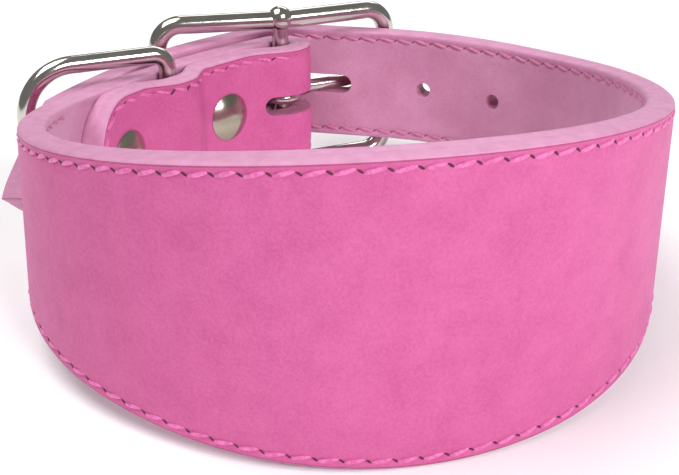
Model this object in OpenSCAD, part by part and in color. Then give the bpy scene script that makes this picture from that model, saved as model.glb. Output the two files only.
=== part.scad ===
// Wide tapered leather dog collar: a suede-lined strap with a stitched edge, a
// centre-bar buckle held in its folded end, and a D-ring caught between two rivets.

/* [Strap] */
// Half of the strap's width at its widest, under the throat
panel_half = 25.8; // [20:0.2:30]
// Half of the strap's width at the buckle
strap_half = 12.3; // [11.5:0.1:12.4]
// Distance over which each side narrows to the buckle's width
taper_length = 122; // [110:1:126]
// How far the widest place sits to the wearer's side of the front centre
widest_at = 12; // [0:1:20]
// Thickness of the outer leather
leather_t = 2.4; // [2:0.1:2.6]
// Thickness of the suede lining
lining_t = 2.2; // [1.8:0.1:2.4]
// Outward lean of the front panel's top edge, in degrees
front_lean = 4.3; // [0:0.1:8]
// How far the buckle end hangs below the collar's middle height
buckle_drop = 2; // [1.8:0.1:2.1]
// How far the other end hangs below it at the holes
hole_drop = 0.9; // [0.7:0.1:1]
// How far the free end sinks from the buckle to its tip
billet_drop = 1.3; // [0.8:0.1:1.5]
// Inward lean of the left wall; the right wall leans in by a third of it
side_lean = 3.4; // [0:0.1:4]

/* [Holes] */
// Radius of a punched hole
hole_r = 1.6; // [1.4:0.1:2]
// Distance from one punched hole to the next
hole_pitch = 17.5; // [16:0.5:18]
// Place along the strap of the first punched hole
first_hole = 138.5; // [136:0.5:140]
// Half width of the prong slots
slot_half = 2.1; // [2:0.1:2.4]

/* [Stitching] */
// Thickness of the sewing thread
thread_t = 0.4; // [0.3:0.05:0.45]
// Distance from the strap's edge to the line of stitches
stitch_inset = 1.7; // [1.5:0.1:3]

/* [Buckle] */
// Radius of the round frame
frame_r = 2; // [1.6:0.1:2.1]
// Half of the frame's height, at the middle of its wire
frame_half = 16.5; // [16.3:0.1:17.5]
// Length of the frame from the bar to the prong's end
frame_right = 25.5; // [24:0.5:27]
// Length of the frame from the bar to the other end
frame_left = 26.5; // [25:0.5:28]
// How far both frame ends stand out past the bar
frame_arch = 3; // [2.6:0.1:3.6]
// Radius of the swelling around each end of the bar
boss_r = 2.7; // [2.5:0.1:3]
// Radius of the centre bar
bar_r = 1.8; // [1.5:0.1:1.9]
// Radius of the prong's wire
prong_r = 1.35; // [1.2:0.05:1.5]

/* [D-ring] */
// Radius of the ring's wire
ring_r = 1.75; // [1.5:0.05:1.8]
// Half of the ring's height, at the middle of its wire
ring_half = 15.7; // [15.5:0.1:16.5]
// Length from the straight bar to the far side of the bow
ring_length = 28.6; // [28.4:0.1:31]
// Radius of the bow's round corners
ring_corner = 9.6; // [8:0.1:9.8]
// Angle by which the ring stands off the strap
ring_stand = 31; // [30:0.5:36]

/* [Rivets] */
// Radius of a rivet's domed cap
cap_r = 5; // [4:0.1:5.5]
// Height of a domed cap
cap_h = 1.6; // [1:0.1:2]
// Radius of a rivet's post
post_r = 1.6; // [1.2:0.1:2]

/* [Stance] */
// Backward tilt with which the collar stands on a table
stand_tilt = 2.8; // [2:0.1:4]

/* [Hidden] */
$fn = 48;

strap_t = leather_t + lining_t;
play = 0.1;                     // room around the bar inside the fold
loop_r = bar_r + play;          // inside of the fold
station_step = 3.2;             // distance between the strap's cross-sections
pocket = 2 * loop_r;            // space between strap and fold at the bar
ring_pocket = 2 * ring_r + 0.2; // the same at the D-ring's bar
lining_gap = 0.12;              // the least space between the two linings
fold_face = 2 * lining_t + leather_t + lining_gap; // the fold's face, at the rivets
fold_length = 62;               // length of the turned-back end
front_y = leather_t;            // the leather's outer face passes through y = 0
outer_cap_r = 4.4;              // radius of a post's own cap, sunk in the leather
sink = 1;                       // depth of that cap in the leather
thread_gap = 0.05;              // space between a stitch line and the face it lies on

// The strap seen from above: arcs as [length, degrees turned], from the front centre.
left_arcs = [[40.5, 41], [42, 55], [20, 20], [50.5, 24]];
right_arcs = [[30, 30], [35, 40], [35, 31], [50, 51], [16, 16],
              [17.9, 0], [11.7, 52], [52.3, 24], [21.9, 20], [7, 8]];
bar_at = -152.8;                // the buckle's bar, on the left arcs
tip_at = 276;                   // the free end's tip, on the right arcs
tip_length = 21;                // length over which the tip narrows
rivet_at = [-134.6, -102];
pocket_at = (rivet_at[0] + rivet_at[1]) / 2;
ring_at = pocket_at - 1.2;
fold_end = bar_at + fold_length;
slot_back = 7.5;                // reach of the fold's slot to each side of the bar
pull_from = 172.9;              // the hole in use, pulled long by the prong
pull_to = 186.8;

function arc_step(p, len, turn) =
    abs(turn) < 0.01
    ? [p[0] + len * cos(p[2]), p[1] + len * sin(p[2]), p[2]]
    : let (r = len * 180 / PI / turn, a = p[2] + turn)
      [p[0] + r * (sin(a) - sin(p[2])), p[1] + r * (cos(p[2]) - cos(a)), a];
function along(arcs, s, i = 0, p = [0, front_y, 0]) =
    let (len = arcs[i][0])
    (s <= len || i == len(arcs) - 1)
    ? arc_step(p, s, arcs[i][1] * s / len)
    : along(arcs, s - len, i + 1, arc_step(p, len, arcs[i][1]));
// Place and direction of the seam between leather and lining at s: [x, y, degrees]
function seam(s) =
    s >= 0 ? along(right_arcs, s) : let (p = along(left_arcs, -s)) [-p[0], p[1], -p[2]];
function outward(a) = [sin(a), -cos(a)];
function clamp01(t) = max(0, min(1, t));
function ease(t) = pow(sin(90 * clamp01(t)), 2);

function half_width(s) =
    let (t = abs(s - widest_at) / taper_length, tip = clamp01((s - tip_at + tip_length) / tip_length))
    (t < 1 ? strap_half + (panel_half - strap_half) * pow(cos(90 * t), 2) : strap_half)
    * sqrt(max(0.001, (1 - tip) * (1.04 - tip) / 1.04));
function lean(s) =
    front_lean * cos(90 * min(1, abs(s) / 80))
    - (s < 0 ? side_lean : side_lean / 3) * pow(sin(180 * clamp01((abs(s) - 25) / 90)), 2);
function mid_height(s) =
    s < 0 ? -buckle_drop * ease((-s - 60) / 80)
    : -hole_drop * ease((s - 100) / 50) - billet_drop * ease((s - 215) / 45) + 1.2 * ease((s - 266) / 10);

// Space between the strap and its turned-back end: wide at both bars, shut at the rivets
function fold_gap(s) =
    let (shut = 5.5, reach = rivet_at[1] - pocket_at - shut)
    max(lining_gap,
        s < rivet_at[0] ? pocket * ease((rivet_at[0] - s - shut) / (rivet_at[0] - bar_at - shut))
        : abs(s - pocket_at) < reach ? ring_pocket * ease(1.15 * (1 - abs(s - pocket_at) / reach))
        : 0);
function fold_half(s) =
    let (t = clamp01((s - fold_end + strap_half) / strap_half)) strap_half * sqrt(1 - 0.985 * t * t);

// A cross-section's frame: [x, y, outward x, outward y, half width, middle height, lean]
function strap_frame(s) =
    let (p = seam(s), n = outward(p[2])) [p[0], p[1], n[0], n[1], half_width(s), mid_height(s), lean(s)];
function turn_frame(a) =
    let (p = seam(bar_at), n = outward(p[2]), r = loop_r + lining_t, b = p[2] - a)
    [p[0] - n[0] * r + sin(b) * r, p[1] - n[1] * r - cos(b) * r, sin(b), -cos(b), strap_half,
     mid_height(bar_at), 0];
function fold_frame(s) =
    let (p = seam(s), n = outward(p[2]), d = 2 * lining_t + fold_gap(s))
    [p[0] - n[0] * d, p[1] - n[1] * d, -n[0], -n[1], fold_half(s), mid_height(s), 0];
function steps(a, b, step) = let (n = ceil(abs(b - a) / step)) [for (i = [0:n]) a + (b - a) * i / n];

stations = steps(tip_at, bar_at, station_step);
fold_stations = concat(steps(bar_at, fold_end - strap_half, 2), steps(fold_end - strap_half + 1, fold_end, 1));
strap_frames = [for (s = stations) strap_frame(s)];
turn_frames = [for (i = [1:11]) turn_frame(15 * i)];
fold_frames = [for (s = fold_stations) fold_frame(s)];
whole_frames = concat(strap_frames, turn_frames, fold_frames);

function at_frame(f, off, z) =
    let (k = off * cos(f[6]) + z * sin(f[6])) [f[0] + f[2] * k, f[1] + f[3] * k, f[5] + z * cos(f[6]) - off * sin(f[6])];
// A band swept through frames: from off_in to off_out, between the heights low(f) and high(f)
module band(frames, off_in, off_out, low, high) {
    n = len(frames);
    points = [for (i = [0:n - 1]) let (f = frames[i])
              each [at_frame(f, off_in, low[i]), at_frame(f, off_out, low[i]),
                    at_frame(f, off_out, high[i]), at_frame(f, off_in, high[i])]];
    sides = [for (i = [0:n - 2]) for (k = [0:3])
             let (a = 4 * i + k, b = 4 * i + (k + 1) % 4)
             each k == 1 ? [[a, b, a + 4], [b, b + 4, a + 4]] : [[a, b, b + 4], [a, b + 4, a + 4]]];
    ends = [[3, 2, 1], [3, 1, 0], [4 * n - 4, 4 * n - 3, 4 * n - 2], [4 * n - 4, 4 * n - 2, 4 * n - 1]];
    polyhedron(points, concat(sides, ends), convexity = 20);
}

// Places: the collar's stance, a place on the strap, and the buckle's own axes
stand_shift = [2.319, -62.084, 26.04];
buckle_turn = -21.4;            // the frame's angle from the strap at the bar
buckle_z = 0.8;                 // the frame's middle above the strap's, at the bar
prong_z = -0.25;                // the prong's place along the bar
ring_z = 0.6;                   // the ring's middle above the strap's
module stand() {
    translate(stand_shift)
        rotate([-stand_tilt, 0, 0])
            children();
}
// On the strap at s, x runs along the strap, y points into the collar
module on_strap(s) {
    p = seam(s);
    translate([p[0], p[1], mid_height(s)])
        rotate([0, 0, p[2]])
            children();
}
// At the bar, x runs along the frame to the prong's end, y points out of the collar
module at_bar() {
    on_strap(bar_at)
        translate([0, loop_r + lining_t, buckle_z])
            rotate([0, 0, 180 + buckle_turn])
                children();
}
module rod(r, length) {
    cylinder(r = r, h = length, center = true);
}
// A rod along x, and one along y from y0 to y1
module rod_x(r, length) {
    rotate([0, 90, 0])
        cylinder(r = r, h = length);
}
module rod_y(r, y0, y1) {
    translate([0, y0, 0])
        rotate([-90, 0, 0])
            cylinder(r = r, h = y1 - y0);
}
// A round-ended slot along x, cut from y0 to y1
module slot(x0, x1, y0, y1) {
    for (x = [x0 + slot_half, x1 - slot_half])
        translate([x, 0, 0])
            rod_y(slot_half, y0, y1);
    translate([x0 + slot_half, y0, -slot_half])
        cube([x1 - x0 - 2 * slot_half, y1 - y0, 2 * slot_half]);
}
// A quarter of a ring in the xz plane, about the origin, from +z to +x
module elbow(bend, r) {
    rotate([90, 0, 0])
        rotate_extrude(angle = 90)
            translate([bend, 0])
                circle(r = r);
}

/* Strap */
module punched_holes() {
    for (i = [0, 1, 3, 4])
        on_strap(first_hole + i * hole_pitch)
            rod_y(hole_r, -leather_t - 1, lining_t + 1);
    on_strap((pull_from + pull_to) / 2)
        slot((pull_from - pull_to) / 2, (pull_to - pull_from) / 2, -leather_t - 1, lining_t + 1);
}
module fold_slot() {
    on_strap(bar_at)
        slot(-slot_back - slot_half, slot_back, -leather_t - 0.4, 2 * loop_r + 2 * strap_t);
}
module post_holes() {
    for (s = rivet_at)
        on_strap(s) {
            rod_y(post_r + 0.05, -leather_t - 0.4, 2 * strap_t);
            rod_y(outer_cap_r + 0.1, -leather_t - 0.4, -leather_t + sink);
        }
}
module strap_layer(off_in, off_out) {
    difference() {
        band(whole_frames, off_in, off_out, [for (f = whole_frames) -f[4]], [for (f = whole_frames) f[4]]);
        punched_holes();
        fold_slot();
        post_holes();
    }
}
module outer_leather() {
    color([0.84, 0.37, 0.58])
        stand()
            strap_layer(0, leather_t);
}
module lining() {
    color([0.86, 0.62, 0.76])
        stand()
            strap_layer(-lining_t, 0);
}

/* Stitching */
module stitch_line(frames, side, off) {
    z = [for (f = frames) side * (f[4] - stitch_inset)];
    near = off > 0 ? off + thread_gap : off - thread_gap - thread_t;
    band(frames, near, near + thread_t, [for (v = z) v - thread_t / 2], [for (v = z) v + thread_t / 2]);
}
module stitch_row(side) {
    outside = [for (s = stations) if (s < tip_at - tip_length && s > fold_end + 15) strap_frame(s)];
    inside = [for (s = stations) if (s < pull_to && s > fold_end + 6) strap_frame(s)];
    stitch_line(outside, side, leather_t);
    stitch_line(inside, side, -lining_t);
}
module stitching_top() {
    color([0.93, 0.6, 0.85])
        stand()
            stitch_row(1);
}
module stitching_bottom() {
    color([0.93, 0.6, 0.85])
        stand()
            stitch_row(-1);
}
module stitching_fold() {
    frames = [for (s = fold_stations) if (s > bar_at + 4 && s < fold_end - stitch_inset) fold_frame(s)];
    color([0.93, 0.6, 0.85])
        stand()
            for (side = [-1, 1])
                stitch_line(frames, side, leather_t);
}

/* Buckle */
// Half of the frame: two rails from the bar, joined by an end with round corners
module half_frame(reach) {
    bend = 5;
    arch = asin(frame_arch / reach);
    rotate([0, 0, arch]) {
        for (side = [-1, 1])
            translate([0, 0, side * frame_half])
                rod_x(frame_r, reach - bend);
        for (side = [0, 1])
            mirror([0, 0, side])
                translate([reach - bend, 0, frame_half - bend])
                    elbow(bend, frame_r);
        translate([reach, 0, 0])
            rod(frame_r, 2 * (frame_half - bend));
    }
}
module buckle_frame() {
    color([0.75, 0.73, 0.7])
        stand()
            at_bar()
                difference() {
                    union() {
                        half_frame(frame_right);
                        mirror([1, 0, 0])
                            half_frame(frame_left);
                        for (side = [-1, 1])
                            translate([0, 0, side * (frame_half + 0.3)])
                                sphere(r = boss_r);
                    }
                    rod(bar_r, 2 * frame_half);
                }
}
module centre_bar() {
    color([0.7, 0.69, 0.67])
        stand()
            at_bar()
                rod(bar_r, 2 * frame_half);
}
module prong() {
    wire = bar_r + 0.06 + prong_r;                  // radius of the loop, at its wire
    rest_y = frame_arch + frame_r + prong_r + 0.05; // height at which it rests on the frame
    rise = atan((rest_y - wire) / frame_right);
    color([0.75, 0.73, 0.7])
        stand()
            at_bar()
                translate([0, 0, prong_z]) {
                    rotate([0, 0, 90 + rise])
                        rotate_extrude(angle = 300)
                            translate([wire, 0])
                                circle(r = prong_r);
                    rotate([0, 0, rise])
                        translate([0, wire, 0]) {
                            rod_x(prong_r, frame_right + 2);
                            translate([frame_right + 2, 0, 0])
                                sphere(r = prong_r);
                        }
                }
}

/* D-ring */
module d_ring() {
    bend = 3;
    color([0.75, 0.73, 0.7])
        stand()
            on_strap(ring_at)
                translate([0, lining_t + ring_pocket / 2, ring_z])
                    rotate([0, 0, -ring_stand]) {
                        rod(ring_r, 2 * (ring_half - bend));
                        for (side = [0, 1])
                            mirror([0, 0, side]) {
                                translate([bend, 0, ring_half - bend])
                                    mirror([1, 0, 0])
                                        elbow(bend, ring_r);
                                translate([bend, 0, ring_half])
                                    rod_x(ring_r, ring_length - ring_corner - bend);
                                translate([ring_length - ring_corner, 0, ring_half - ring_corner])
                                    elbow(ring_corner, ring_r);
                            }
                        translate([ring_length, 0, 0])
                            rod(ring_r, 2 * (ring_half - ring_corner));
                    }
}

/* Rivets */
module dome(r, h) {
    ball = (r * r + h * h) / 2 / h;
    intersection() {
        translate([0, h - ball, 0])
            sphere(r = ball, $fn = 96);
        rod_y(r, 0, h + 1);
    }
}
module rivet_cap(s) {
    color([0.72, 0.7, 0.66])
        stand()
            on_strap(s)
                translate([0, fold_face + 0.25, 0])
                    dome(cap_r, cap_h);
}
module rivet_post(s) {
    color([0.66, 0.64, 0.62])
        stand()
            on_strap(s) {
                rod_y(post_r, -leather_t + sink, fold_face + 0.25);
                rod_y(outer_cap_r, -leather_t - 0.1, -leather_t + sink);
            }
}
module rivet_1_cap() {
    rivet_cap(rivet_at[0]);
}
module rivet_1_post() {
    rivet_post(rivet_at[0]);
}
module rivet_2_cap() {
    rivet_cap(rivet_at[1]);
}
module rivet_2_post() {
    rivet_post(rivet_at[1]);
}

outer_leather();
lining();
stitching_top();
stitching_bottom();
stitching_fold();
buckle_frame();
centre_bar();
prong();
d_ring();
rivet_1_cap();
rivet_1_post();
rivet_2_cap();
rivet_2_post();
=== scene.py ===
import math

import bmesh
import bpy
import numpy as np
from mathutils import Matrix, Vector


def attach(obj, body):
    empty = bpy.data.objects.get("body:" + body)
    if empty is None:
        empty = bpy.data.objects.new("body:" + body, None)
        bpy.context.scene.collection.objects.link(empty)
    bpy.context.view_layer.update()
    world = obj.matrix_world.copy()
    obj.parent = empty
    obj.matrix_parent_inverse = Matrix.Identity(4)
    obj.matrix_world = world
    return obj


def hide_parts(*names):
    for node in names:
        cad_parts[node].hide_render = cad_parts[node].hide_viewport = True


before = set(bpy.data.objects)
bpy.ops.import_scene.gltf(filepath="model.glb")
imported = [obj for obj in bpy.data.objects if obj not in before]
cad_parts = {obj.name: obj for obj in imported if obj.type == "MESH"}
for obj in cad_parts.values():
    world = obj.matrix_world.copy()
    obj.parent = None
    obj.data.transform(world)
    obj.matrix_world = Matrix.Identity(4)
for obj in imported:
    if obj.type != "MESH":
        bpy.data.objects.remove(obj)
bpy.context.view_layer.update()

# ---------------------------------------------------------------- the strap's route
# The same arcs and widths as the CAD strap, in millimetres; stood() turns them into the row's metres.
LEATHER = 2.4        # thickness of the outer leather
LINING = 2.2         # thickness of the suede
HALF = 12.3          # half the strap's width at the buckle
PANEL = 25.8         # the same at its widest
TAPER = 122.0        # length over which it narrows
WIDEST_AT = 12.0
FRONT_LEAN = 4.3     # degrees, outward at the top
LEFT_LEAN = 3.4      # degrees, inward at the top
RIGHT_LEAN = 1.13
# How far the strap's middle sinks, and rises again at the tip
BUCKLE_DROP = 2.0
HOLE_DROP = 0.9
BILLET_DROP = 1.3
TIP_RISE = 1.2
# The seam from above, left and right of the front centre: (length, degrees turned)
LEFT = ((40.5, 41), (42, 55), (20, 20), (50.5, 24))
RIGHT = ((30, 30), (35, 40), (35, 31), (50, 51), (16, 16),
         (17.9, 0), (11.7, 52), (52.3, 24), (21.9, 20), (7, 8))
# Places along the strap
BAR = -152.8
TIP = 276.0
TIP_LENGTH = 21.0
FOLD_END = -90.8
RIVETS = (-134.6, -102.0)
POCKET_AT = sum(RIVETS) / 2
FIRST_HOLE = 138.5
HOLE_PITCH = 17.5
PULLED_HOLE = 179.85
OUTER_STITCHES_FROM = -80
LINING_STITCHES = (-85, 188)
# Small sizes
HOLE_R = 1.6
PULLED_HALF = 6.95   # half length of the hole in use
SLOT_R = 2.1         # half height of that hole and of the fold's slot
FOLD_SLOT = (-9.6, 7.5)  # along the strap from the bar
LOOP = 1.9           # inside radius of the fold
RING_POCKET = 3.7    # space for the D-ring's bar
LINING_GAP = 0.12    # the least space between the two linings
SHUT = 5.5           # how far the fold is shut to each side of a rivet
STITCH = 4.0         # pitch
SHARP = 38           # degrees, edges that turn more stay sharp
INSET = 1.7          # from the strap's edge to the stitches
GROOVE = 0.24        # how far the outer stitches lie below the leather's face
LINING_GROOVE = 0.18
# Stance
TILT = math.radians(-2.8)
SHIFT = (2.319, -62.084, 26.04)


def stood(p):
    x, y, z = p
    c, s = math.cos(TILT), math.sin(TILT)
    return ((x + SHIFT[0]) / 1000, (y * c - z * s + SHIFT[1]) / 1000, (y * s + z * c + SHIFT[2]) / 1000)


def walk(arcs, s):
    x, y, a = 0.0, LEATHER, 0.0
    for i, (length, turn) in enumerate(arcs):
        last = s <= length or i == len(arcs) - 1
        run = s if last else length
        bend = math.radians(turn) * run / length
        if abs(bend) < 1e-9:
            x, y = x + run * math.cos(a), y + run * math.sin(a)
        else:
            r = run / bend
            x, y = x + r * (math.sin(a + bend) - math.sin(a)), y + r * (math.cos(a) - math.cos(a + bend))
        a += bend
        if last:
            return x, y, a
        s -= length


def seam(s):
    if s >= 0:
        return walk(RIGHT, s)
    x, y, a = walk(LEFT, -s)
    return -x, y, -a


def clamp01(t):
    return max(0.0, min(1.0, t))


def ease(t):
    return math.sin(math.pi / 2 * clamp01(t)) ** 2


def half_width(s):
    t = abs(s - WIDEST_AT) / TAPER
    w = HALF + (PANEL - HALF) * math.cos(math.pi / 2 * t) ** 2 if t < 1 else HALF
    tip = clamp01((s - TIP + TIP_LENGTH) / TIP_LENGTH)
    return w * math.sqrt(max(0.0002, (1 - tip) * (1.04 - tip) / 1.04))


def mid_height(s):
    if s < 0:
        return -BUCKLE_DROP * ease((-s - 60) / 80)
    return (-HOLE_DROP * ease((s - 100) / 50) - BILLET_DROP * ease((s - 215) / 45)
            + TIP_RISE * ease((s - 266) / 10))


def lean(s):
    side = (LEFT_LEAN if s < 0 else RIGHT_LEAN) * math.sin(math.pi * clamp01((abs(s) - 25) / 90)) ** 2
    return math.radians(FRONT_LEAN * math.cos(math.pi / 2 * min(1, abs(s) / 80)) - side)


# Space between the strap and its turned-back end: wide at both bars, shut at the rivets
def fold_gap(s):
    reach = RIVETS[1] - POCKET_AT - SHUT
    gap = 0.0
    if s < RIVETS[0]:
        gap = 2 * LOOP * ease((RIVETS[0] - s - SHUT) / (RIVETS[0] - BAR - SHUT))
    elif abs(s - POCKET_AT) < reach:
        gap = RING_POCKET * ease(1.15 * (1 - abs(s - POCKET_AT) / reach))
    return max(LINING_GAP, gap)


def fold_half(s):
    t = clamp01((s - FOLD_END + HALF) / HALF)
    return HALF * math.sqrt(max(0.0, 1 - 0.997 * t * t))


# A cross-section's frame: x, y, outward x, outward y, half width, middle height, lean
def strap_frame(s):
    x, y, a = seam(s)
    return (x, y, math.sin(a), -math.cos(a), half_width(s), mid_height(s), lean(s))


def turn_frame(angle):
    x, y, a = seam(BAR)
    nx, ny, r, b = math.sin(a), -math.cos(a), LOOP + LINING, a - math.radians(angle)
    return (x - nx * r + math.sin(b) * r, y - ny * r - math.cos(b) * r, math.sin(b), -math.cos(b), HALF,
            mid_height(BAR), 0.0)


def fold_frame(s):
    x, y, a = seam(s)
    nx, ny, d = math.sin(a), -math.cos(a), 2 * LINING + fold_gap(s)
    return (x - nx * d, y - ny * d, -nx, -ny, fold_half(s), mid_height(s), 0.0)


def steps(a, b, step):
    n = max(1, math.ceil(abs(b - a) / step))
    return [a + (b - a) * i / n for i in range(n + 1)]


def at_frame(f, off, z):
    c, s = math.cos(f[6]), math.sin(f[6])
    k = off * c + z * s
    return (f[0] + f[2] * k, f[1] + f[3] * k, f[5] + z * c - off * s)


def on_strap(s, x, y, z):
    px, py, a = seam(s)
    return (px + x * math.cos(a) - y * math.sin(a), py + x * math.sin(a) + y * math.cos(a), mid_height(s) + z)


tip_stations = [TIP - TIP_LENGTH * (1 - math.sin(math.pi / 2 * i / 16)) for i in range(16, -1, -1)]
end_stations = [FOLD_END - HALF * (1 - math.sin(math.pi / 2 * i / 16)) for i in range(17)]
frames = [strap_frame(s) for s in tip_stations + steps(TIP - TIP_LENGTH - 1.2, BAR, 1.2)]
frames += [turn_frame(7.5 * i) for i in range(1, 24)]
frames += [fold_frame(s) for s in steps(BAR, FOLD_END - HALF - 0.8, 0.9) + end_stations]


# ---------------------------------------------------------------- materials
def rgb(r, g, b):
    def lin(v):
        v /= 255
        return v / 12.92 if v <= 0.04045 else ((v + 0.055) / 1.055) ** 2.4
    return (lin(r), lin(g), lin(b), 1)


class Nodes:
    def __init__(self, name):
        self.mat = bpy.data.materials.new(name)
        self.mat.use_nodes = True
        self.tree = self.mat.node_tree
        self.shader = self.tree.nodes["Principled BSDF"]
        self.place = self.add("ShaderNodeTexCoord").outputs["Object"]

    def add(self, kind, **values):
        node = self.tree.nodes.new(kind)
        for key, value in values.items():
            if key in node.inputs:
                node.inputs[key].default_value = value
            else:
                setattr(node, key, value)
        return node

    def link(self, a, b):
        self.tree.links.new(a, b)

    def noise(self, scale, detail=3.0, roughness=0.5):
        node = self.add("ShaderNodeTexNoise", Scale=scale, Detail=detail, Roughness=roughness)
        self.link(self.place, node.inputs["Vector"])
        return node.outputs["Fac"]

    def cells(self, scale):
        node = self.add("ShaderNodeTexVoronoi", feature="DISTANCE_TO_EDGE", Scale=scale)
        self.link(self.place, node.inputs["Vector"])
        return node.outputs["Distance"]

    def ramp(self, value, stops):
        node = self.add("ShaderNodeValToRGB")
        while len(node.color_ramp.elements) < len(stops):
            node.color_ramp.elements.new(0.5)
        for element, (where, colour) in zip(node.color_ramp.elements, stops):
            element.position = where
            element.color = colour
        self.link(value, node.inputs["Fac"])
        return node.outputs["Color"]

    def mix(self, fac, a, b):
        node = self.add("ShaderNodeMix", data_type="RGBA")
        for i, value in ((0, fac), (6, a), (7, b)):
            if isinstance(value, (float, int, tuple)):
                node.inputs[i].default_value = value
            else:
                self.link(value, node.inputs[i])
        return node.outputs[2]

    def span(self, value, low, high):
        node = self.add("ShaderNodeMapRange")
        node.inputs["To Min"].default_value = low
        node.inputs["To Max"].default_value = high
        self.link(value, node.inputs["Value"])
        return node.outputs["Result"]

    def bump(self, height, strength, distance, under=None):
        node = self.add("ShaderNodeBump", Strength=strength, Distance=distance)
        self.link(height, node.inputs["Height"])
        if under is not None:
            self.link(under, node.inputs["Normal"])
        return node.outputs["Normal"]

    def finish(self, colour, rough, normal=None, **constants):
        self.link(colour, self.shader.inputs["Base Color"])
        self.link(rough, self.shader.inputs["Roughness"])
        if normal is not None:
            self.link(normal, self.shader.inputs["Normal"])
        for key, value in constants.items():
            self.shader.inputs[key.replace("_", " ")].default_value = value
        return self.mat


def grained_leather(name, dark, mid, light):
    n = Nodes(name)
    mottle = n.ramp(n.noise(150, 6, 0.62), [(0.34, dark), (0.5, mid), (0.68, light)])
    speckle = n.ramp(n.noise(1900, 3, 0.7), [(0.36, dark), (0.5, mid), (0.64, light)])
    colour = n.mix(0.5, mottle, speckle)
    pebble = n.bump(n.cells(1500), 0.22, 0.00025)
    grain = n.bump(n.noise(3600, 3, 0.65), 0.30, 0.0002, pebble)
    creases = n.bump(n.noise(240, 2, 0.5), 0.10, 0.001, grain)
    return n.finish(colour, n.span(n.noise(900, 2), 0.40, 0.58), creases, Specular_IOR_Level=0.2)


def burnished_edge(name, dark, light):
    n = Nodes(name)
    colour = n.ramp(n.noise(420, 4, 0.6), [(0.3, dark), (0.65, light)])
    fibres = n.bump(n.noise(2200, 4, 0.7), 0.22, 0.0002)
    return n.finish(colour, n.span(n.noise(700, 2), 0.42, 0.6), fibres, Specular_IOR_Level=0.35)


def suede(name, dark, mid, light):
    n = Nodes(name)
    clouds = n.ramp(n.noise(55, 5, 0.62), [(0.33, dark), (0.5, mid), (0.66, light)])
    nap = n.ramp(n.noise(1900, 3, 0.7), [(0.3, dark), (0.7, light)])
    colour = n.mix(0.28, clouds, nap)
    fuzz = n.bump(n.noise(3000, 4, 0.75), 0.45, 0.0003)
    brushed = n.bump(n.noise(330, 3, 0.6), 0.15, 0.0008, fuzz)
    return n.finish(colour, n.span(n.noise(1200, 2), 0.86, 0.98), brushed, Specular_IOR_Level=0.15,
                    Sheen_Weight=0.35, Sheen_Roughness=0.6, Sheen_Tint=rgb(246, 214, 240))


def sewing_thread(name, dark, light):
    n = Nodes(name)
    colour = n.ramp(n.noise(1500, 3), [(0.3, dark), (0.66, light)])
    twist = n.bump(n.noise(5200, 2), 0.5, 0.00015)
    return n.finish(colour, n.span(n.noise(1600, 2), 0.42, 0.6), twist, Specular_IOR_Level=0.4,
                    Sheen_Weight=0.2, Sheen_Roughness=0.4)


def plated_metal(name, dark, light, rough):
    n = Nodes(name)
    colour = n.ramp(n.noise(140, 3, 0.55), [(0.3, dark), (0.7, light)])
    worn = n.bump(n.noise(900, 3, 0.6), 0.05, 0.0002)
    return n.finish(colour, n.span(n.noise(380, 4, 0.6), rough * 0.75, rough * 1.35), worn, Metallic=1.0)


LEATHER_FACE = grained_leather("leather_face", rgb(193, 84, 141), rgb(203, 95, 151), rgb(211, 104, 159))
LEATHER_EDGE = burnished_edge("leather_edge", rgb(194, 131, 165), rgb(205, 144, 179))
# The darker strip round the rim's outer corner is painted shade: a shadow line between the rim and the face
EDGE_CORNER_SHADE = burnished_edge("leather_edge_corner_painted_shade", rgb(160, 64, 106), rgb(180, 78, 124))
CUT_LEATHER = burnished_edge("leather_cut", rgb(176, 104, 138), rgb(198, 128, 160))
SUEDE = suede("lining_suede", rgb(186, 118, 152), rgb(200, 136, 169), rgb(213, 152, 184))
THREAD = sewing_thread("thread", rgb(208, 92, 154), rgb(232, 126, 188))
LINING_THREAD = sewing_thread("lining_thread", rgb(188, 106, 146), rgb(204, 126, 166))
# The awl slits' dark colours are painted shade: the shadow inside each cut beside a stitch
AWL_SLIT_SHADE = sewing_thread("awl_slit_painted_shade", rgb(64, 8, 34), rgb(104, 20, 60))
LINING_AWL_SLIT_SHADE = sewing_thread("lining_awl_slit_painted_shade", rgb(132, 60, 94), rgb(152, 78, 112))
METAL = plated_metal("plated_metal", rgb(190, 186, 178), rgb(212, 208, 200), 0.12)
RIVET_METAL = plated_metal("rivet_metal", rgb(172, 168, 148), rgb(198, 194, 176), 0.18)


# ---------------------------------------------------------------- mesh helpers
def piece(name, bm, materials, body, node=(), angle=SHARP):
    mesh = bpy.data.meshes.new(name)
    bmesh.ops.recalc_face_normals(bm, faces=bm.faces[:])
    bm.to_mesh(mesh)
    bm.free()
    for m in materials:
        mesh.materials.append(m)
    mesh.shade_smooth()
    mesh.set_sharp_from_angle(angle=math.radians(angle))
    obj = bpy.data.objects.new(name, mesh)
    bpy.context.scene.collection.objects.link(obj)
    if body:
        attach(obj, body)
    if node:
        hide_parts(*node)
    return obj
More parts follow.
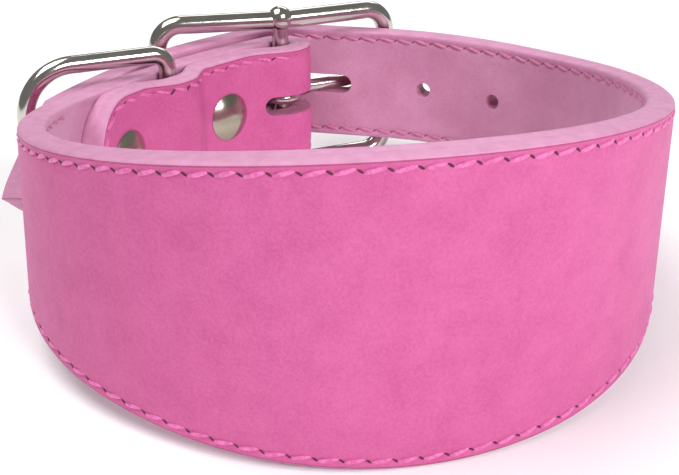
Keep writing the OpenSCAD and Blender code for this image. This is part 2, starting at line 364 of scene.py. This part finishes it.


# Points round one rim of a layer, from the seam to past the stitch groove: offset from the seam, inset from
# the edge, material (2, round the outer corner, is painted shade)
RIM_OUT = ((0.0, 0.05, 1), (0.22, 0.01, 1), (1.2, 0.0, 1), (1.8, 0.03, 1), (2.12, 0.13, 1), (2.31, 0.31, 1),
           (2.37, 0.42, 2), (2.4, 0.66, 0), (2.4, 0.95, 0), (2.35, 1.2, 0), (2.22, 1.45, 0), (2.15, 1.7, 0),
           (2.22, 1.95, 0), (2.35, 2.2, 0), (2.41, 2.6, 0), (2.44, 3.6, 0), (2.44, 5.2, 0))
RIM_IN = ((0.0, 0.05, 1), (0.22, 0.01, 1), (1.1, 0.0, 1), (1.65, 0.04, 1), (1.98, 0.16, 1), (2.14, 0.36, 0),
          (2.2, 0.66, 0), (2.2, 0.95, 0), (2.15, 1.2, 0), (2.05, 1.45, 0), (2.0, 1.7, 0), (2.05, 1.95, 0),
          (2.15, 2.2, 0), (2.2, 2.6, 0), (2.22, 3.6, 0), (2.2, 5.2, 0))


def layer_profile(half, rim, side):
    k = min(1.0, half / 6.0)
    upper = [(side * off, half - inset * k, mat) for off, inset, mat in rim]
    middle = [(upper[-1][0], (half - 5.2 * k) * t, 0) for t in (0.66, 0.33, 0.0, -0.33, -0.66)]
    lower = [(off, -z, upper[max(0, i - 1)][2]) for i, (off, z, mat) in reversed(list(enumerate(upper)))]
    return upper + middle + lower


# The hide's slight unevenness along the strap
def swell(i):
    return 0.05 * math.sin(i * 0.11) * math.sin(i * 0.043 + 1)


def sweep_layer(rim, side):
    bm = bmesh.new()
    rows = []
    for i, f in enumerate(frames):
        row = []
        for off, z, mat in layer_profile(f[4], rim, side):
            face = abs(off) > 2 and abs(z) < f[4] - 3
            row.append(bm.verts.new(stood(at_frame(f, off + (swell(i) if face else 0), z))))
        rows.append(row)
    mats = [p[2] for p in layer_profile(HALF, rim, side)]
    n = len(rows[0])
    for a, b in zip(rows, rows[1:]):
        for k in range(n):
            face = bm.faces.new((a[k], a[(k + 1) % n], b[(k + 1) % n], b[k]))
            face.material_index = 1 if k == n - 1 else mats[k]
    for row in (rows[0], rows[-1]):
        bm.faces.new(row).material_index = 1
    return bm


# A straight cutter with a stadium outline through the strap at s, from y0 to y1
def stadium(bm, s, x0, x1, r, y0, y1):
    outline = []
    for cx, start in ((x1 - r, -90), (x0 + r, 90)):
        outline += [(cx + r * math.cos(math.radians(start + t)), r * math.sin(math.radians(start + t)))
                    for t in range(0, 181, 12)]
    rings = [[bm.verts.new(stood(on_strap(s, x, y, z))) for x, z in outline] for y in (y0, y1)]
    n = len(outline)
    for k in range(n):
        bm.faces.new((rings[0][k], rings[0][(k + 1) % n], rings[1][(k + 1) % n], rings[1][k]))
    bm.faces.new(rings[0])
    bm.faces.new(rings[1])


def hole_cutters():
    bm = bmesh.new()
    for i in (0, 1, 3, 4):
        stadium(bm, FIRST_HOLE + i * HOLE_PITCH, -HOLE_R, HOLE_R, HOLE_R - 0.001, -LEATHER - 1, LINING + 0.6)
    stadium(bm, PULLED_HOLE, -PULLED_HALF, PULLED_HALF, SLOT_R, -LEATHER - 1, LINING + 0.25)
    return bm


def slot_cutter():
    bm = bmesh.new()
    stadium(bm, BAR, *FOLD_SLOT, SLOT_R, -LEATHER - 0.3, 2 * LOOP + 2 * (LEATHER + LINING))
    return bm


def cut(obj, *cutters):
    for cutter in cutters:
        mod = obj.modifiers.new("holes", "BOOLEAN")
        mod.object = cutter
        mod.solver = "EXACT"
        mod.material_mode = "TRANSFER"
    depsgraph = bpy.context.evaluated_depsgraph_get()
    mesh = bpy.data.meshes.new_from_object(obj.evaluated_get(depsgraph))
    obj.modifiers.clear()
    old = obj.data
    obj.data = mesh
    bpy.data.meshes.remove(old)
    mesh.shade_smooth()
    mesh.set_sharp_from_angle(angle=math.radians(SHARP))


# ---------------------------------------------------------------- the strap
cutters = [piece("hole_cutter", hole_cutters(), [CUT_LEATHER], None),
           piece("slot_cutter", slot_cutter(), [CUT_LEATHER], None)]
outer = piece("strap_leather", sweep_layer(RIM_OUT, 1), [LEATHER_FACE, LEATHER_EDGE, EDGE_CORNER_SHADE], "strap",
              ("outer_leather",))
cut(outer, *cutters)
inner = piece("strap_lining", sweep_layer(RIM_IN, -1), [SUEDE, LEATHER_EDGE], "strap", ("lining",))
cut(inner, *cutters)
for cutter in cutters:
    bpy.data.objects.remove(cutter)


# ---------------------------------------------------------------- stitches
def resample(points, normals, pitch, phase):
    p, q = np.array(points), np.array(normals)
    run = np.concatenate([[0], np.cumsum(np.linalg.norm(np.diff(p, axis=0), axis=1))])
    where = np.arange(phase, run[-1] - pitch * 0.4, pitch)

    def at(values, w):
        return np.stack([np.interp(w, run, values[:, k]) for k in range(3)], -1)
    mid, out = at(p, where), at(q, where)
    ahead = at(p, where + 3e-4) - at(p, where - 3e-4)
    ahead /= np.linalg.norm(ahead, axis=1, keepdims=True)
    return mid, ahead, out


def blob(bm, centre, along, up, out, path, wide, high, material):
    rings = []
    sides = 8
    for u, v, lift, size in path:
        c = centre + along * u + up * v + out * lift
        ring = []
        for k in range(sides):
            t = 2 * math.pi * k / sides
            rim = up * (wide * size * math.cos(t)) + out * (high * size * math.sin(t))
            ring.append(bm.verts.new(c + rim))
        rings.append(ring)
    for a, b in zip(rings, rings[1:]):
        for k in range(sides):
            bm.faces.new((a[k], a[(k + 1) % sides], b[(k + 1) % sides], b[k])).material_index = material
    for ring in (rings[0], rings[-1]):
        bm.faces.new(ring).material_index = material


# A stitch's place along itself, slope and thickness; then the rings of a stitch and of the slit beside it, as
# millimetres along, up and off the face, and thickness
STRAND_SHAPE = ((-1, 0.40, 0.5), (-0.8, 0.42, 0.82), (-0.45, 0.44, 1), (0, 0.4, 1.06),
                (0.45, 0.44, 1), (0.8, 0.42, 0.82), (1, 0.40, 0.5))
STRAND = [(u * 1.72, u * slope, 0.22 * (1 - u * u) - 0.1 - 0.3 * max(0, abs(u) - 0.75), size)
          for u, slope, size in STRAND_SHAPE]
# The slit is a flat dark lens on the face, painted shade standing in for the shadow inside the awl's cut
SLIT = [(0.62 * u, -0.5 * u, -0.02, size)
        for u, size in ((-1, 0.15), (-0.7, 0.75), (0, 1), (0.7, 0.75), (1, 0.15))]


def sew(threads, slit_shades, route, off, phase=0.0):
    """A run of slanted stitches along a route of (frame, height) on the face at that offset."""
    surface = [np.array(stood(at_frame(f, off, z))) for f, z in route]
    beyond = [np.array(stood(at_frame(f, off + math.copysign(1, off), z))) for f, z in route]
    normals = [(b - a) * 1000 for a, b in zip(surface, beyond)]
    mid, ahead, out = resample(surface, normals, STITCH / 1000, phase / 1000)
    mm = 0.001
    for i in range(len(mid)):
        up = np.cross(out[i], ahead[i])
        if up[2] < 0:
            up = -up
        wobble = 0.06 * math.sin(i * 2.7)
        axes = (ahead[i] * mm, up * mm, out[i] * mm)
        blob(threads, mid[i] + up * wobble * mm, *axes, STRAND, 0.40, 0.30, int(off < 0))
        blob(slit_shades, mid[i] + ahead[i] * 2 * mm, *axes, SLIT, 0.30, 0.13, int(off < 0))


def edge_route(first, last, side):
    route = []
    for s in steps(first, last, 1.0):
        f = strap_frame(s)
        route.append((f, side * (f[4] - INSET)))
    return route


def tip_route(side):
    stations = [s for s in tip_stations if half_width(s) > INSET + 0.3]
    return [(strap_frame(s), side * (half_width(s) - INSET)) for s in stations]


def fold_route():
    centre, radius = FOLD_END - HALF, HALF - INSET
    route = [(fold_frame(s), radius) for s in steps(BAR + 4, centre, 1.0)]
    for t in range(3, 180, 3):
        s = centre + radius * math.sin(math.radians(t))
        route.append((fold_frame(s), radius * math.cos(math.radians(t))))
    return route + [(fold_frame(s), -radius) for s in steps(centre, BAR + 4, 1.0)]


# holes gathers the dark slit lenses beside the stitches: painted shade, not cut holes
holes = bmesh.new()
for name, side in (("stitching_top", 1), ("stitching_bottom", -1)):
    run = bmesh.new()
    outside = edge_route(OUTER_STITCHES_FROM, TIP - TIP_LENGTH, side) + tip_route(side)[1:]
    sew(run, holes, outside, LEATHER - GROOVE, 1.6)
    sew(run, holes, edge_route(*LINING_STITCHES, side), -LINING + LINING_GROOVE, 0.8)
    piece("sewn_" + name[9:], run, [THREAD, LINING_THREAD], "strap", (name,), 60)
run = bmesh.new()
sew(run, holes, fold_route(), LEATHER - GROOVE)
piece("sewn_fold", run, [THREAD], "strap", ("stitching_fold",), 60)
piece("awl_slit_painted_shades", holes, [AWL_SLIT_SHADE, LINING_AWL_SLIT_SHADE], "strap", (), 60)

# ---------------------------------------------------------------- the metal
HARDWARE = ("buckle_frame", "centre_bar", "prong", "d_ring")
RIVET_NODES = ("rivet_1_cap", "rivet_1_post", "rivet_2_cap", "rivet_2_post")
for name in HARDWARE + RIVET_NODES:
    material = METAL if name in HARDWARE else RIVET_METAL
    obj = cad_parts[name]
    obj.data.materials.clear()
    obj.data.materials.append(material)
    obj.data.shade_smooth()
    obj.data.set_sharp_from_angle(angle=math.radians(35))


# ---------------------------------------------------------------- floor, lights, camera
def floor():
    bm = bmesh.new()
    bmesh.ops.create_grid(bm, x_segments=8, y_segments=8, size=3.0)
    n = Nodes("floor")
    colour = n.ramp(n.noise(3, 2), [(0.3, (0.95, 0.95, 0.95, 1)), (0.7, (0.97, 0.97, 0.97, 1))])
    obj = piece("floor", bm, [n.finish(colour, n.span(n.noise(40, 2), 0.7, 0.8))], None)


def area(name, place, aim, size, watts):
    light = bpy.data.lights.new(name, "AREA")
    light.shape = "RECTANGLE"
    light.size, light.size_y = size
    light.energy = watts
    obj = bpy.data.objects.new(name, light)
    obj.location = place
    obj.rotation_euler = (Vector(aim) - Vector(place)).to_track_quat("-Z", "Y").to_euler()
    bpy.context.scene.collection.objects.link(obj)


floor()
area("key", (0.72, -0.9, 0.75), (0, 0, 0.02), (0.7, 0.5), 15)
area("top", (-0.4, 0.0, 1.0), (0, 0, 0.02), (0.9, 0.7), 9)
area("back", (0.15, 0.9, 0.6), (0, 0.02, 0.02), (0.7, 0.4), 2)

world = bpy.data.worlds.new("studio")
world.use_nodes = True
world.node_tree.nodes["Background"].inputs["Color"].default_value = (1, 1, 1, 1)
world.node_tree.nodes["Background"].inputs["Strength"].default_value = 0.22
bpy.context.scene.world = world
bpy.context.scene.view_settings.view_transform = "Standard"

# The photo's camera, fitted in the strap's own frame before it was stood up
camera = bpy.data.cameras.new("camera")
camera.sensor_width = 36
camera.lens = 63.62
camera.clip_start = 0.01
camera_object = bpy.data.objects.new("camera", camera)
camera_object.location = stood((-0.22, -146.26, 80.52))
camera_object.rotation_euler = (math.radians(90 - 24.61) + TILT, 0, 0)
bpy.context.scene.collection.objects.link(camera_object)
bpy.context.scene.camera = camera_object
